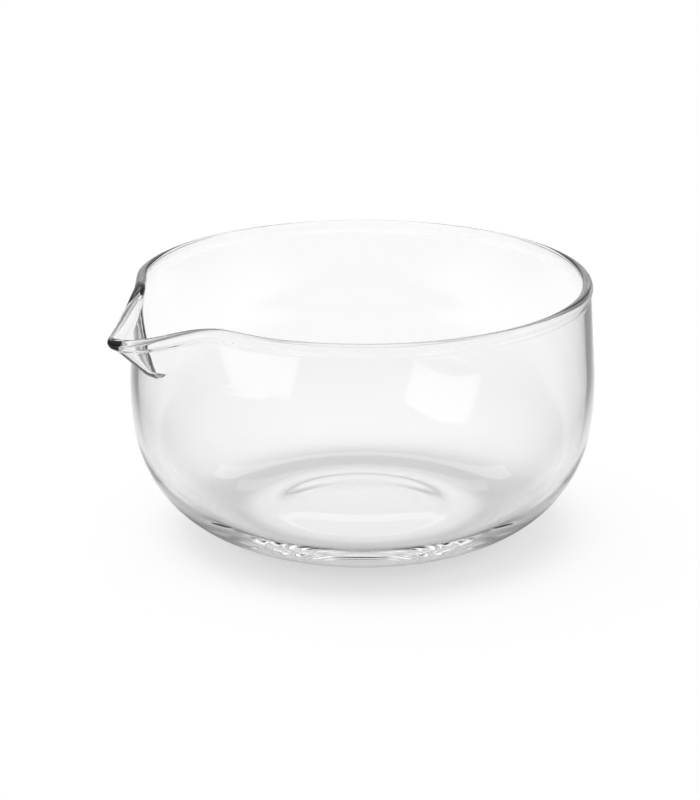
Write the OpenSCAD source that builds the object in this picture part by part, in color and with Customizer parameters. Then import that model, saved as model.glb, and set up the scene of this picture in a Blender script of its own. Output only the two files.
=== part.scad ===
// Clear blown-glass matcha bowl with a drawn pouring lip.
// One piece of glass: a body of revolution, with the lip drawn out of its wall along -X.
// The origin is on the bowl's axis, on the plane that the foot stands on.

/* [Bowl] */
// Greatest diameter of the body
body_d = 125; // [118:0.5:136]
// Height of the rim above the table
bowl_h = 68.8; // [66:0.2:80]
// Radius of the belly in profile, at the widest part
belly_r = 75; // [65:1:90]
// Inward lean of the wall at the rim, in degrees
neck_lean = 4; // [2:0.5:6]

/* [Glass] */
// Thickness of the wall
wall = 2; // [1.4:0.1:3]
// Thickness of the fire-polished rim
rim_t = 2.4; // [2:0.1:3.2]
// Height of the rim's flattened round
rim_round_h = 0.6; // [0.4:0.1:1]
// Height over which the wall swells to the rim
rim_swell_h = 6; // [3:0.5:12]
// Height of the level floor inside, above the table
floor_h = 4.6; // [3.4:0.1:7]

/* [Foot] */
// Outer diameter of the ring that the bowl stands on
foot_d = 59; // [55:0.5:64]
// Diameter of the shallow hollow inside the ring
hollow_d = 50.6; // [40:0.2:54]
// Depth of the hollow in the middle
hollow_h = 1.3; // [0.4:0.1:1.8]

/* [Lip] */
// How far the lip is drawn out past the rim
lip_reach = 13.6; // [8:0.1:18]
// How far the lip's tip dips below the rim
lip_dip = 6.2; // [2:0.1:8]
// Width of the opening where the lip leaves the rim
lip_w = 48; // [36:0.5:56]
// Depth below the rim at which the lip's keel leaves the wall
lip_drop = 17.8; // [14:0.2:21]
// Radius of the lip's keel in plan
keel_r = 2.2; // [1.6:0.1:4]
// How far the wall is drawn in beside the lip
lip_pinch = 0.8; // [0:0.1:1.5]

/* [Hidden] */

// Slope at which the side's arc passes into the belly's, from the horizontal
belly_start = 80;
// Power of the hollow's curve: higher is flatter in the middle and steeper at the edge
hollow_power = 3;
// Overlap of the lip's patch with the revolved wall, along the wall and in degrees
lap_h = 1;
lap_a = 1;
// How far the patch stands proud of the revolved wall
lap_skin = 0.05;
// Height of plain wall kept in the patch below the keel
lip_foot = 4.5;
// Share of the keel's length over which it curves out of the wall
keel_soften = 0.06;
// The keel's blunt end, as shares of the lip's reach and of the keel's length
chin_reach = 0.08;
chin_h = 0.16;
// How fast the lip narrows down its keel, and the least radius at which it flares out of the wall
lip_taper = 1.15;
flare_r = 1.3;
// Where the wall beside the lip is drawn in, in widths of the lip's half
pinch_from = 0.65;
pinch_to = 1.7;

// Steps of the arcs, the plain wall, the rim's round, and the lip's rows and columns to each side
hollow_steps = 8;
side_steps = 18;
plain_steps = 25;
rim_steps = 7;
lip_rises = 18;
lip_steps = 26;
// How far the columns crowd towards the keel
lip_crowd = 1.5;
round_fn = 180;
// Steps for measuring slopes on the wall, in millimetres and degrees
probe_h = 0.01;
probe_a = 0.02;

body_r = body_d / 2;
foot_r = foot_d / 2;

// Outer outline: the side's arc leaves the foot level and meets the belly's in a common tangent
side_r = (body_r - foot_r - belly_r * (1 - sin(belly_start))) / sin(belly_start);
side_c = [foot_r, side_r];
belly_c = side_c + (side_r - belly_r) * [sin(belly_start), -cos(belly_start)];

// Middle line of the wall: the belly arc up to the neck, then a straight cone to the rim
mid_r = belly_r - wall / 2;
mid_low = belly_c[1] - mid_r * cos(belly_start);
mid_neck = belly_c[1] + mid_r * sin(neck_lean);
mid_top = bowl_h - rim_round_h;
function mid_radius(h) = h < mid_neck
    ? belly_c[0] + sqrt(mid_r ^ 2 - (h - belly_c[1]) ^ 2)
    : belly_c[0] + mid_r * cos(neck_lean) - (h - mid_neck) * tan(neck_lean);
rim_radius = mid_radius(mid_top);

// Inner corner: one arc from the level floor up to the belly
corner_r = (belly_c[1] - (belly_r - wall) * cos(belly_start) - floor_h) / (1 - cos(belly_start));
corner_c = [
    belly_c[0] + (belly_r - wall - corner_r) * sin(belly_start),
    floor_h + corner_r
];

// Lip: plan shape at the rim, and the height at which its keel leaves the wall
lip_a = asin(lip_w / 2 / rim_radius);
keel_a = keel_r * lip_a / (2 * lip_reach);
lip_z0 = bowl_h - lip_drop - lip_foot;
lip_squash = (mid_top - lip_dip - lip_z0) / (mid_top - lip_z0);
keel_h = lip_z0 + lip_foot / lip_squash;

function ease(x) = let (t = max(0, min(1, x))) t * t * (3 - 2 * t);
function soften(x, s) = x < -s ? 0 : x > s ? x : (x + s) ^ 2 / (4 * s);
// Share of the lip's reach that the keel has at a height
function keel_share(h) =
    let (t = (h - keel_h) / (mid_top - keel_h))
    chin_reach * ease(t / chin_h) + (1 - chin_reach) * soften(t, keel_soften);
// Angle from the keel, rounded at the keel itself
function fold(a) = sqrt(a ^ 2 + keel_a ^ 2) - keel_a;
// Angle over which the lip flares out, where its keel has a share of the reach
function spread(share) =
    max(lip_a * share ^ lip_taper, asin(sqrt(2 * flare_r * lip_reach * share) / rim_radius));
// Share of the keel's reach at an angle from the keel
function draw(a, share) = share <= 0 ? 0 : (1 - min(1, fold(a) / spread(share))) ^ 2;
// Share of the draw-in beside the lip
function pinch(a) =
    let (t = (abs(a) / lip_a - pinch_from) / (pinch_to - pinch_from))
    t <= 0 || t >= 1 ? 0 : sin(180 * t) ^ 2;
function lip_radius(a, h) =
    let (share = keel_share(h))
    mid_radius(h) + share * (lip_reach * draw(a, share) - lip_pinch * pinch(a));
function lip_height(a, h) = h < lip_z0 ? h
    : h - (h - lip_z0) / (mid_top - lip_z0) * lip_dip * sin(90 * draw(a, 1));

// Point of the wall's middle surface, at an angle from the keel and a height up the plain wall
function mid_point(a, h) =
    let (r = lip_radius(a, h))
    [-r * cos(a), r * sin(a), lip_height(a, h)];
function unit(v) = v / norm(v);
function up_wall(a, h) = unit(mid_point(a, h + probe_h) - mid_point(a, h - probe_h));
function round_wall(a, h) = unit(mid_point(a - probe_a, h) - mid_point(a + probe_a, h));
function out_of_wall(a, h) = unit(cross(round_wall(a, h), up_wall(a, h)));

function half_wall(h) = (wall + (rim_t - wall) * ease(1 - (mid_top - h) / rim_swell_h)) / 2;
// Heights of the rows in the lip's patch, and in the plain wall from the belly up
lip_rows = [for (i = [0 : lip_rises]) lip_z0 + (mid_top - lip_z0) * i / lip_rises];
plain_rows = [for (i = [0 : plain_steps]) mid_low + (mid_top - mid_low) * i / plain_steps];

// Section of the wall at an angle: up the outside, round the rim and down the inside
function wall_section(a, rows, skin) = [
    for (h = rows)
        mid_point(a, h) + out_of_wall(a, h) * (half_wall(h) + skin),
    for (i = [1 : rim_steps - 1])
        let (t = 180 * i / rim_steps)
        mid_point(a, mid_top)
            + out_of_wall(a, mid_top) * (rim_t / 2 + skin) * cos(t)
            + up_wall(a, mid_top) * (rim_round_h + skin) * sin(t),
    for (i = [len(rows) - 1 : -1 : 0])
        mid_point(a, rows[i]) - out_of_wall(a, rows[i]) * (half_wall(rows[i]) + skin)
];

function arc(c, r, a0, a1, steps) = [
    for (i = [0 : steps])
        let (t = a0 + (a1 - a0) * i / steps)
        c + r * [sin(t), -cos(t)]
];

// Half outline of the bowl: hollow, foot and side, the wall, then corner and floor
plain_angle = 90;
last_slope = belly_start * (1 - 1 / side_steps);
bowl_outline = concat(
    [for (i = [0 : hollow_steps])
        let (t = i / hollow_steps)
        [t * hollow_d / 2, hollow_h * (1 - t ^ hollow_power)]],
    arc(side_c, side_r, 0, last_slope, side_steps - 1),
    [for (p = wall_section(plain_angle, plain_rows, 0)) [p[1], p[2]]],
    arc(corner_c, corner_r, last_slope, 0, side_steps - 1),
    [[0, floor_h]]
);

// The patch covers the drawn wall and two laps more on each side
patch_a = lip_a * pinch_to + 2 * lap_a;
function patch_angle(i) = patch_a * sign(i) * (abs(i) / lip_steps) ^ lip_crowd;

module bowl_of_revolution() {
    rotate_extrude($fn = round_fn)
        polygon(bowl_outline);
}

// Room for the lip's patch in the revolved wall
module lip_window() {
    window_a = patch_a - lap_a;
    window_r = body_r + lip_reach;
    translate([0, 0, lip_z0 + lap_h])
        linear_extrude(bowl_h)
            polygon([
                [0, 0],
                window_r * [-cos(window_a), sin(window_a)],
                [-window_r / cos(window_a), 0],
                window_r * [-cos(window_a), -sin(window_a)]
            ]);
}

// The lip: sections of the wall set side by side from one end of the patch to the other
module drawn_lip() {
    sections = [for (i = [-lip_steps : lip_steps]) wall_section(patch_angle(i), lip_rows, lap_skin)];
    n = len(sections[0]);
    last = (len(sections) - 1) * n;
    points = [for (s = sections) each s];
    sides = [
        for (i = [0 : len(sections) - 2], j = [0 : n - 1])
            let (a = i * n + j, b = i * n + (j + 1) % n)
            each [[a, a + n, b], [b, a + n, b + n]]
    ];
    ends = [
        [for (k = [0 : n - 1]) k],
        [for (k = [n - 1 : -1 : 0]) last + k]
    ];
    polyhedron(points, concat(sides, ends));
}

module glass_bowl() {
    color([0.86, 0.9, 0.91, 0.4])
        union() {
            difference() {
                bowl_of_revolution();
                lip_window();
            }
            drawn_lip();
        }
}

glass_bowl();
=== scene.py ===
import math

import bmesh
import bpy
from mathutils import Matrix, Vector


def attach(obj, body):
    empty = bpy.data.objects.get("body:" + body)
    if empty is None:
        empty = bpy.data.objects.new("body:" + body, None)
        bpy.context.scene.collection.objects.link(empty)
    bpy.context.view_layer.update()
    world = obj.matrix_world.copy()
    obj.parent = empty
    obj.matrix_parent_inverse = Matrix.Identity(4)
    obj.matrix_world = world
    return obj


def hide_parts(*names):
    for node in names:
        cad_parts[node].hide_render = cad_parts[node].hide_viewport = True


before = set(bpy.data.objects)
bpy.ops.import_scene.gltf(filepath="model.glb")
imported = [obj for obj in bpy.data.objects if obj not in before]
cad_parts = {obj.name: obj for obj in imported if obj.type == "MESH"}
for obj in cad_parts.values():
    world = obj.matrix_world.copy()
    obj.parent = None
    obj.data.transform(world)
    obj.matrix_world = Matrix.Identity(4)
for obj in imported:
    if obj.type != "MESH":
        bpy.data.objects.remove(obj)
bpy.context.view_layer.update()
print("frame loaded:", list(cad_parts))

mm = 0.001

# camera: found from the ellipses of rim and base and from both sides of the bowl
cameraView = {
    "azimuth": 29.5,        # degrees from the front towards the lip
    "elevation": 18.8,
    "distance": 670 * mm,
    "lens": 111.5,
    "sensor": 36,           # along the picture's 800 pixels
    "target": Vector((0, 0, 39.24)) * mm,
    "aimRight": -3.35 * mm,  # the picture's middle, seen from the target
    "aimUp": -4.84 * mm,
}

azimuth = math.radians(cameraView["azimuth"])
elevation = math.radians(cameraView["elevation"])
toRight = Vector((math.cos(azimuth), -math.sin(azimuth), 0))
toBack = Vector((math.sin(azimuth), math.cos(azimuth), 0))
toTop = Vector((0, 0, 1))
lookAlong = toBack * math.cos(elevation) - toTop * math.sin(elevation)
pictureUp = toBack * math.sin(elevation) + toTop * math.cos(elevation)


def addCamera(view):
    camera = bpy.data.objects.new("bowlCamera", bpy.data.cameras.new("bowlCamera"))
    bpy.context.collection.objects.link(camera)
    camera.data.lens = view["lens"]
    camera.data.sensor_width = view["sensor"]
    aim = view["target"] + toRight * view["aimRight"] + pictureUp * view["aimUp"]
    camera.location = aim - lookAlong * view["distance"]
    camera.rotation_euler = lookAlong.to_track_quat("-Z", "Y").to_euler()
    bpy.context.scene.camera = camera


addCamera(cameraView)
print("camera set")


def newMaterial(name):
    material = bpy.data.materials.new(name)
    material.use_nodes = True
    material.node_tree.nodes.clear()
    return material, material.node_tree


def calc(tree, operation, first, second=0):
    node = tree.nodes.new("ShaderNodeMath")
    node.operation = operation
    for socket, value in zip(node.inputs, (first, second)):
        if isinstance(value, (int, float)):
            socket.default_value = value
        else:
            tree.links.new(value, socket)
    return node.outputs[0]


def fade(tree, value, span, levels, interpolation="LINEAR"):
    # goes from the first level to the second while the value crosses the span
    node = tree.nodes.new("ShaderNodeMapRange")
    node.interpolation_type = interpolation
    for socket, number in zip(("From Min", "From Max", "To Min", "To Max"), (*span, *levels)):
        node.inputs[socket].default_value = number
    tree.links.new(value, node.inputs["Value"])
    return node.outputs[0]


def blend(tree, share, first, second):
    node = tree.nodes.new("ShaderNodeMixShader")
    for socket, value in zip(node.inputs, (share, first, second)):
        tree.links.new(value, socket)
    return node.outputs[0]


def byRadius(tree, stops):
    # grey that changes with the distance from the bowl's axis
    where = tree.nodes.new("ShaderNodeTexCoord")
    flat = tree.nodes.new("ShaderNodeVectorMath")
    flat.operation = "MULTIPLY"
    flat.inputs[1].default_value = (1, 1, 0)
    fromAxis = tree.nodes.new("ShaderNodeVectorMath")
    fromAxis.operation = "LENGTH"
    ramp = tree.nodes.new("ShaderNodeValToRGB")
    ramp.color_ramp.interpolation = "EASE"
    marks = ramp.color_ramp.elements
    while len(marks) < len(stops):
        marks.new(0.5)
    last = stops[-1][0]
    for mark, (r, grey) in zip(marks, stops):
        mark.position = r / last
        mark.color = (grey, grey, grey, 1)
    tree.links.new(where.outputs["Object"], flat.inputs[0])
    tree.links.new(flat.outputs[0], fromAxis.inputs[0])
    tree.links.new(calc(tree, "DIVIDE", fromAxis.outputs["Value"], last), ramp.inputs["Fac"])
    return ramp.outputs["Color"]


clearGlassLook = {
    "tint": (1, 1, 1, 1),
    "ior": 1.5,
    "roughness": 0.0,
    # what a face lets through to the floor, by its distance from the axis: floor, heel and wall
    "shade": [(28 * mm, 0.98), (36 * mm, 0.54), (46 * mm, 0.7), (60 * mm, 0.96)],
}


def makeClearGlass(look):
    material, tree = newMaterial("clearGlass")
    out = tree.nodes.new("ShaderNodeOutputMaterial")
    glass = tree.nodes.new("ShaderNodeBsdfPrincipled")
    glass.inputs["Base Color"].default_value = look["tint"]
    glass.inputs["Roughness"].default_value = look["roughness"]
    glass.inputs["IOR"].default_value = look["ior"]
    glass.inputs["Transmission Weight"].default_value = 1
    letThrough = tree.nodes.new("ShaderNodeBsdfTransparent")
    tree.links.new(byRadius(tree, look["shade"]), letThrough.inputs["Color"])
    path = tree.nodes.new("ShaderNodeLightPath")
    surface = glass.outputs[0]
    # light on its way to or from the floor goes straight through
    for ray in ("Is Shadow Ray", "Is Diffuse Ray"):
        surface = blend(tree, path.outputs[ray], surface, letThrough.outputs[0])
    tree.links.new(surface, out.inputs["Surface"])
    return material


clearGlass = makeClearGlass(clearGlassLook)

# the bowl's own sizes, as its solid has them apart from the fuller bead on the rim
bowl = {
    "bodyR": 62.5 * mm,
    "height": 68.8 * mm,
    "footR": 29.5 * mm,
    "bellyR": 75 * mm,
    "bellyStart": math.radians(80),
    "neckLean": math.radians(4),
    "wall": 2 * mm,
    "rimRoundH": 0.6 * mm,  # height of the rim's flattened round
    "beadR": 1.5 * mm,      # round of the fire-polished bead
    "beadH": 4 * mm,        # depth below the rim where the wall has its own thickness again
    "floorH": 4.6 * mm,
    "hollowR": 25.3 * mm,
    "hollowH": 1.3 * mm,
    "hollowPower": 3,       # higher is flatter in the middle and steeper at the edge
    "lipReach": 13.6 * mm,
    "lipDip": 6.2 * mm,
    "lipW": 48 * mm,
    "lipDrop": 17.8 * mm,   # depth below the rim where the keel leaves the wall
    "lipFoot": 4.5 * mm,    # plain wall below it that dips with the lip
    "keelR": 2.2 * mm,
    "keelSoften": 0.06,     # share of the keel's length over which it curves out of the wall
    "lipTaper": 1.15,       # how fast the lip narrows down its keel
    "flareR": 1.3 * mm,     # least radius where it flares out of the wall
    "chinReach": 0.08,      # blunt end of the keel: its share of the lip's reach
    "chinH": 0.16,          # and of the keel's length
    "lipPinch": 0.8 * mm,   # how far the wall is drawn in beside the lip
    "pinchFrom": 0.65,      # and where, in halves of the lip's width
    "pinchTo": 1.7,
    "hollowSteps": 12,
    "footSteps": 2,
    "sideSteps": 50,
    "bellySteps": 12,
    "keelRows": (-1.5 * mm, 3.5 * mm),  # heights from the keel's end with closer rows between them
    "neckSteps": (5, 14, 6, 14),        # rows below, between and above those, and on the bead
    "capSteps": 12,
    "cornerSteps": 44,
    "floorSteps": 4,
    "columns": 440,
    "crowd": 0.65,          # how far the columns crowd towards the lip
}

bellyR, wall = bowl["bellyR"], bowl["wall"]
bellyStart, neckLean = bowl["bellyStart"], bowl["neckLean"]


def onArc(centre, radius, slope):
    # point of an arc in the outline where it rises at a slope from the level
    return centre + radius * Vector((math.sin(slope), -math.cos(slope)))


# the side's arc leaves the foot level and runs into the belly's
sideR = (bowl["bodyR"] - bowl["footR"] - bellyR * (1 - math.sin(bellyStart))) / math.sin(bellyStart)
sideC = Vector((bowl["footR"], sideR))
bellyC = onArc(sideC, sideR - bellyR, bellyStart)
midR = bellyR - wall / 2
neckStart = bellyC + midR * Vector((math.cos(neckLean), math.sin(neckLean)))
midTop = bowl["height"] - bowl["rimRoundH"]

# inside: one corner arc down to the level floor
innerLow = onArc(bellyC, bellyR - wall, bellyStart)
cornerR = (innerLow.y - bowl["floorH"]) / (1 - math.cos(bellyStart))
cornerC = onArc(innerLow, -cornerR, bellyStart)


def midRadius(h):
    if h < neckStart.y:
        return bellyC.x + math.sqrt(midR ** 2 - (h - bellyC.y) ** 2)
    return neckStart.x - (h - neckStart.y) * math.tan(neckLean)


rimRadius = midRadius(midTop)
lipA = math.asin(bowl["lipW"] / 2 / rimRadius)
keelA = bowl["keelR"] * lipA / (2 * bowl["lipReach"])
lipLow = bowl["height"] - bowl["lipDrop"] - bowl["lipFoot"]
lipSquash = (midTop - bowl["lipDip"] - lipLow) / (midTop - lipLow)
keelLow = lipLow + bowl["lipFoot"] / lipSquash


def ease(x):
    t = max(0, min(1, x))
    return t * t * (3 - 2 * t)


def soften(x, s):
    if x < -s:
        return 0
    return x if x > s else (x + s) ** 2 / (4 * s)


def keelShare(h):
    # share of the lip's reach that its keel has at a height
    t = (h - keelLow) / (midTop - keelLow)
    chin = bowl["chinReach"]
    return chin * ease(t / bowl["chinH"]) + (1 - chin) * soften(t, bowl["keelSoften"])


def draw(a, share):
    # share of the lip's reach at an angle from its keel
    if share <= 0:
        return 0
    fold = math.sqrt(a ** 2 + keelA ** 2) - keelA
    flare = math.asin(math.sqrt(2 * bowl["flareR"] * bowl["lipReach"] * share) / rimRadius)
    spread = max(lipA * share ** bowl["lipTaper"], flare)
    return (1 - min(1, fold / spread)) ** 2


def pinch(a):
    t = (abs(a) / lipA - bowl["pinchFrom"]) / (bowl["pinchTo"] - bowl["pinchFrom"])
    return math.sin(math.pi * t) ** 2 if 0 < t < 1 else 0


def midPoint(a, h):
    # point of the wall's middle surface at an angle from the lip's keel
    share = keelShare(h)
    r = midRadius(h) + share * (bowl["lipReach"] * draw(a, share) - bowl["lipPinch"] * pinch(a))
    z = h
    if h > lipLow:
        z -= (h - lipLow) / (midTop - lipLow) * bowl["lipDip"] * math.sin(math.pi / 2 * draw(a, 1))
    return Vector((r * math.cos(a), r * math.sin(a), z))


def wallFrame(a, h):
    # the wall's middle point with its directions up and out
    probe, turn = 0.01 * mm, 0.0003  # small steps for measuring slopes
    up = (midPoint(a, h + probe) - midPoint(a, h - probe)).normalized()
    side = (midPoint(a + turn, h) - midPoint(a - turn, h)).normalized()
    return midPoint(a, h), up, side.cross(up).normalized()


def rimSwell(h):
    # how many times thicker than the plain wall the glass is near the rim
    below = bowl["height"] - h
    r = bowl["beadR"]
    if below < r:
        return 2 * math.sqrt(r ** 2 - (r - below) ** 2) / wall
    return 1 + (2 * r / wall - 1) * ease(1 - (below - r) / (bowl["beadH"] - r))


# the drawn wall starts where the belly does, with a little slack, and the floor lies further in
lowestDrawn = bellyStart - math.pi / 2 - 1e-6
insideDrawn = innerLow.x - 1 * mm


def drawWall(co, a):
    # takes a point of the plain wall to where the drawn and swollen wall has it
    r = math.hypot(co.x, co.y)
    fromBelly = Vector((r, co.z)) - bellyC
    slope = math.atan2(fromBelly.y, fromBelly.x)
    if slope < lowestDrawn or r < insideDrawn:
        return Vector((r * math.cos(a), r * math.sin(a), co.z))
    if slope < neckLean:
        h, out, past = bellyC.y + midR * math.sin(slope), fromBelly.length - midR, 0
    else:
        fromNeck = Vector((r, co.z)) - neckStart
        along = fromNeck.y * math.cos(neckLean) - fromNeck.x * math.sin(neckLean)
        out = fromNeck.x * math.cos(neckLean) + fromNeck.y * math.sin(neckLean)
        h = min(midTop, neckStart.y + along * math.cos(neckLean))
        past = along - (h - neckStart.y) / math.cos(neckLean)
    middle, upWall, outOfWall = wallFrame(a, h)
    return middle + outOfWall * out * rimSwell(h) + upWall * past * bowl["rimRoundH"] / (wall / 2)


def addArc(bm, last, centre, turn, steps):
    swept = bmesh.ops.spin(bm, geom=[last], cent=(centre.x, 0, centre.y), axis=(0, -1, 0),
                           angle=turn, steps=steps, use_merge=False, use_duplicate=False)
    return next(g for g in swept["geom_last"] if isinstance(g, bmesh.types.BMVert))


def addLine(bm, last, end, steps):
    start = Vector((last.co.x, last.co.z))
    for i in range(steps):
        last = bmesh.ops.extrude_vert_indiv(bm, verts=[last])["verts"][0]
        step = start.lerp(end, (i + 1) / steps)
        last.co = (step.x, 0, step.y)
    return last


def makeBowl():
    bm = bmesh.new()
    neckUp = Vector((-math.sin(neckLean), math.cos(neckLean)))
    neckOut = Vector((math.cos(neckLean), math.sin(neckLean)))
    neckTop = neckStart + neckUp * (midTop - neckStart.y) / math.cos(neckLean)
    bellyTurn = math.pi / 2 - bellyStart + neckLean
    # outline from the middle of the hollow, up the outside, over the rim and down the inside
    last = bm.verts.new((0, 0, bowl["hollowH"]))
    for i in range(1, bowl["hollowSteps"] + 1):
        t = i / bowl["hollowSteps"]
        rise = bowl["hollowH"] * (1 - t ** bowl["hollowPower"])
        last = addLine(bm, last, Vector((t * bowl["hollowR"], rise)), 1)
    last = addLine(bm, last, Vector((bowl["footR"], 0)), bowl["footSteps"])
    last = addArc(bm, last, sideC, bellyStart, bowl["sideSteps"])
    last = addArc(bm, last, bellyC, bellyTurn, bowl["bellySteps"])
    # up the neck and down again, with closer rows where the keel leaves the wall
    stops = [neckStart]
    for past in bowl["keelRows"]:
        stops.append(neckStart + neckUp * (keelLow + past - neckStart.y) / math.cos(neckLean))
    stops += [neckTop - neckUp * bowl["beadH"], neckTop]
    half = neckOut * wall / 2
    for stop, steps in zip(stops[1:], bowl["neckSteps"]):
        last = addLine(bm, last, stop + half, steps)
    last = addArc(bm, last, neckTop, math.pi, bowl["capSteps"])
    for stop, steps in zip(stops[-2::-1], bowl["neckSteps"][::-1]):
        last = addLine(bm, last, stop - half, steps)
    last = addArc(bm, last, bellyC, -bellyTurn, bowl["bellySteps"])
    last = addArc(bm, last, cornerC, -bellyStart, bowl["cornerSteps"])
    addLine(bm, last, Vector((0, bowl["floorH"])), bowl["floorSteps"])
    bmesh.ops.spin(bm, geom=bm.verts[:] + bm.edges[:], cent=(0, 0, 0), axis=(0, 0, 1),
                   angle=2 * math.pi, steps=bowl["columns"], use_merge=True, use_duplicate=False)
    bmesh.ops.remove_doubles(bm, verts=bm.verts, dist=0.001 * mm)
    for v in bm.verts:
        a = math.atan2(v.co.y, v.co.x)
        v.co = drawWall(v.co, a - bowl["crowd"] * math.sin(a))
    bmesh.ops.rotate(bm, verts=bm.verts, cent=(0, 0, 0), matrix=Matrix.Rotation(math.pi, 3, "Z"))
    bmesh.ops.recalc_face_normals(bm, faces=bm.faces)
    for face in bm.faces:
        face.smooth = True
    mesh = bpy.data.meshes.new("glassBowl")
    bm.to_mesh(mesh)
    bm.free()
    mesh.materials.append(clearGlass)
    piece = bpy.data.objects.new("glassBowl", mesh)
    bpy.context.collection.objects.link(piece)
    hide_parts("glass_bowl")
    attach(piece, "root")
    return piece


glassBowl = makeBowl()
print("bowl:", len(glassBowl.data.polygons), "faces")

studio = {
    "floorSize": 12,
    "floorZ": -0.1 * mm,    # just clear of the foot
    "floorColour": (0.6, 0.6, 0.6, 1),
    "floorGlow": 0.495,     # brings the open floor up to white
    "mirroredNear": 0.95,   # brightness of the floor where the glass mirrors it, beside the bowl
    "mirroredFar": 0.3,     # and away from it
    "nearEnd": 70 * mm,     # how far from the bowl's axis the first ends and the second starts
    "farStart": 130 * mm,
    "frontFade": 2.5,       # how much sooner it fades in front
    # share that is left of it in the bowl's shadow, by the distance from the axis
    "mirroredShade": [(20 * mm, 1.0), (34 * mm, 0.52), (48 * mm, 0.2), (62 * mm, 1)],
    "shadeEnd": 14 * mm,    # how far back that shadow keeps its strength
    "clearStart": 46 * mm,  # and where it is gone
    "roomLight": 0.1,
    "mirroredHigh": 0.8,    # brightness of the room overhead where the glass mirrors it
    "mirroredLow": 0.12,    # level with the bowl
    "mirroredBack": 0.8,    # and straight behind it
    "backEdge": 0.85,       # cosines of the angles between which the white behind it fades
    "backFull": 0.97,
    "horizon": 0.001,       # height that lower directions are taken at
    # on a ceiling one unit up: middle to the right and back, half width and depth,
    # the light it gives and its brightness when mirrored
    "softboxes": [
        (-0.3, 0.3, 0.5, 0.4, 4.2, 0),
        (-1.4, -0.1, 0.3, 0.4, 2.2, 0),
        (1.4, -0.1, 0.3, 0.4, 2.2, 0),
        (0, 1.45, 0.6, 0.25, 0, 1.1),
    ],
    # cards that glow only where the glass mirrors them and are clear to all other light: painted
    # reflections
    "cardGlow": 1.2,
    "cardZ": 1 * mm,
    "cards": [              # corners of the cards over the floor, in mm to the right and back
        [(-203, -378), (-174, -274), (-204, -255), (-320, -225), (-590, -215), (-590, -360)],
        [(166, -382), (281, -201), (190, -192), (102, -323)],
    ],
    "bounces": 32,          # light runs a long way inside the glass
}


def mirroredMask(tree):
    # 1 for light that was mirrored in the glass on its way, 0 for light seen straight or through it
    path = tree.nodes.new("ShaderNodeLightPath")
    return calc(tree, "GREATER_THAN", path.outputs["Glossy Depth"], 0.5)


def studioAxes(tree, vector):
    # a vector's parts to the studio's right, back and top
    turn = tree.nodes.new("ShaderNodeVectorRotate")
    turn.rotation_type = "Z_AXIS"
    turn.inputs["Angle"].default_value = azimuth
    split = tree.nodes.new("ShaderNodeSeparateXYZ")
    tree.links.new(vector, turn.inputs["Vector"])
    tree.links.new(turn.outputs[0], split.inputs[0])
    return split.outputs


def stagePlane(name, material, corners):
    bm = bmesh.new()
    verts = [bm.verts.new(corner) for corner in corners]
    bmesh.ops.contextual_create(bm, geom=verts)
    mesh = bpy.data.meshes.new(name)
    bm.to_mesh(mesh)
    bm.free()
    mesh.materials.append(material)
    plane = bpy.data.objects.new(name, mesh)
    bpy.context.collection.objects.link(plane)


def makeFloor(look):
    material, tree = newMaterial("paleFloor")
    out = tree.nodes.new("ShaderNodeOutputMaterial")
    paint = tree.nodes.new("ShaderNodeBsdfDiffuse")
    paint.inputs["Color"].default_value = look["floorColour"]
    glow = tree.nodes.new("ShaderNodeEmission")
    glow.inputs["Strength"].default_value = look["floorGlow"]
    seen = tree.nodes.new("ShaderNodeAddShader")
    tree.links.new(paint.outputs[0], seen.inputs[0])
    tree.links.new(glow.outputs[0], seen.inputs[1])
    # painted light and painted shadow: a glow that stands in for the lit floor where the glass mirrors it
    # as the glass mirrors it: bright beside and behind the bowl, dark in its shadow and far away
    where = tree.nodes.new("ShaderNodeTexCoord")
    right, back, _ = studioAxes(tree, where.outputs["Object"])
    beside = tree.nodes.new("ShaderNodeCombineXYZ")
    inFront = calc(tree, "MULTIPLY", calc(tree, "MINIMUM", back, 0), look["frontFade"])
    tree.links.new(right, beside.inputs["X"])
    tree.links.new(inFront, beside.inputs["Y"])
    away = tree.nodes.new("ShaderNodeVectorMath")
    away.operation = "LENGTH"
    tree.links.new(beside.outputs[0], away.inputs[0])
    brightness = fade(tree, away.outputs["Value"], (look["nearEnd"], look["farStart"]),
                      (look["mirroredNear"], look["mirroredFar"]))
    behind = fade(tree, back, (look["shadeEnd"], look["clearStart"]), (0, 1))
    shade = calc(tree, "MAXIMUM", byRadius(tree, look["mirroredShade"]), behind)
    mirrored = tree.nodes.new("ShaderNodeEmission")
    tree.links.new(shade, mirrored.inputs["Color"])
    tree.links.new(brightness, mirrored.inputs["Strength"])
    surface = blend(tree, mirroredMask(tree), seen.outputs[0], mirrored.outputs[0])
    tree.links.new(surface, out.inputs["Surface"])
    half, z = look["floorSize"] / 2, look["floorZ"]
    stagePlane("paleFloor", material,
               [(-half, -half, z), (half, -half, z), (half, half, z), (-half, half, z)])


def layCards(look):
    material, tree = newMaterial("paintedReflectionCard")
    out = tree.nodes.new("ShaderNodeOutputMaterial")
    clear = tree.nodes.new("ShaderNodeBsdfTransparent")
    glow = tree.nodes.new("ShaderNodeEmission")
    glow.inputs["Strength"].default_value = look["cardGlow"]
    # painted reflection: the card glows only in mirrored light and is clear otherwise
    surface = blend(tree, mirroredMask(tree), clear.outputs[0], glow.outputs[0])
    tree.links.new(surface, out.inputs["Surface"])
    for i, card in enumerate(look["cards"]):
        corners = [(toRight * right + toBack * back) * mm + toTop * look["cardZ"] for right, back in card]
        stagePlane(f"paintedReflectionCard{i + 1}", material, corners)


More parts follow.
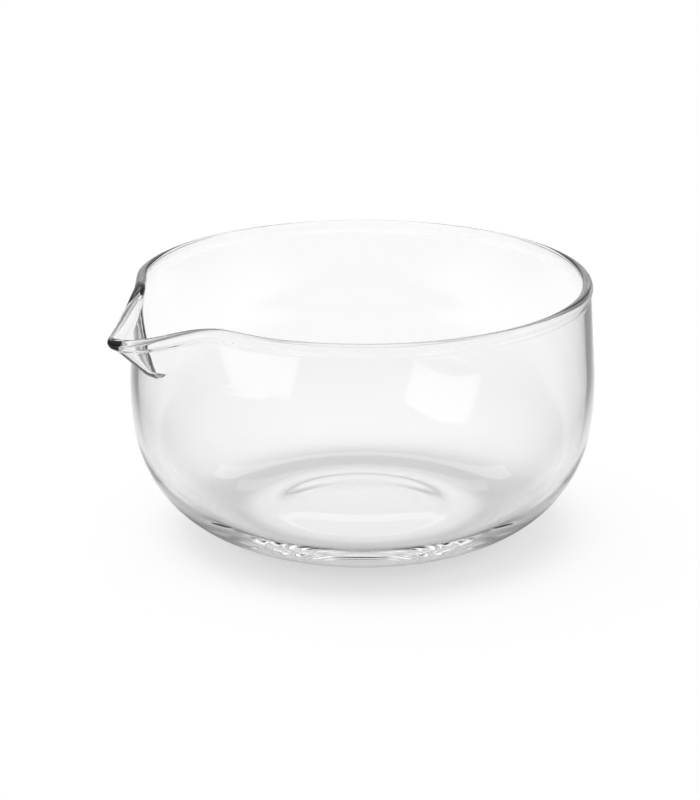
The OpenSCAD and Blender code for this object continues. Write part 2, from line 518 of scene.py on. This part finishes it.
def lightRoom(look):
    world = bpy.data.worlds.new("studioRoom")
    world.use_nodes = True
    tree = world.node_tree
    tree.nodes.clear()
    out = tree.nodes.new("ShaderNodeOutputWorld")
    room = tree.nodes.new("ShaderNodeBackground")
    white = tree.nodes.new("ShaderNodeBackground")
    for background in (room, white):
        background.inputs["Color"].default_value = (1, 1, 1, 1)
    path = tree.nodes.new("ShaderNodeLightPath")
    where = tree.nodes.new("ShaderNodeTexCoord")
    right, back, up = studioAxes(tree, where.outputs["Generated"])
    height = calc(tree, "MAXIMUM", up, look["horizon"])
    mirrored = mirroredMask(tree)
    level = fade(tree, back, (look["backEdge"], look["backFull"]),
                 (look["mirroredLow"], look["mirroredBack"]), "SMOOTHSTEP")
    overhead = calc(tree, "MULTIPLY", height, calc(tree, "SUBTRACT", look["mirroredHigh"], level))
    change = calc(tree, "SUBTRACT", calc(tree, "ADD", level, overhead), look["roomLight"])
    total = calc(tree, "ADD", calc(tree, "MULTIPLY", mirrored, change), look["roomLight"])
    onCeiling = [calc(tree, "DIVIDE", part, height) for part in (right, back)]
    for *middle, halfWide, halfDeep, light, shine in look["softboxes"]:
        within = []
        for part, mid, half in zip(onCeiling, middle, (halfWide, halfDeep)):
            off = calc(tree, "ABSOLUTE", calc(tree, "SUBTRACT", part, mid))
            within.append(calc(tree, "LESS_THAN", off, half))
        shown = calc(tree, "ADD", light, calc(tree, "MULTIPLY", mirrored, shine - light))
        total = calc(tree, "ADD", calc(tree, "MULTIPLY", calc(tree, "MULTIPLY", *within), shown), total)
    tree.links.new(total, room.inputs["Strength"])
    # white to the camera, also through clear glass, but not where the glass mirrors the room
    notMirrored = calc(tree, "SUBTRACT", 1, mirrored)
    seenThrough = calc(tree, "MULTIPLY", path.outputs["Is Transmission Ray"], notMirrored)
    seen = calc(tree, "MAXIMUM", path.outputs["Is Camera Ray"], seenThrough)
    tree.links.new(blend(tree, seen, room.outputs[0], white.outputs[0]), out.inputs["Surface"])
    bpy.context.scene.world = world


makeFloor(studio)
layCards(studio)
lightRoom(studio)
bpy.context.scene.view_settings.view_transform = "Standard"
for bounces in ("max_bounces", "glossy_bounces", "transmission_bounces"):
    setattr(bpy.context.scene.cycles, bounces, studio["bounces"])
print("studio lit")
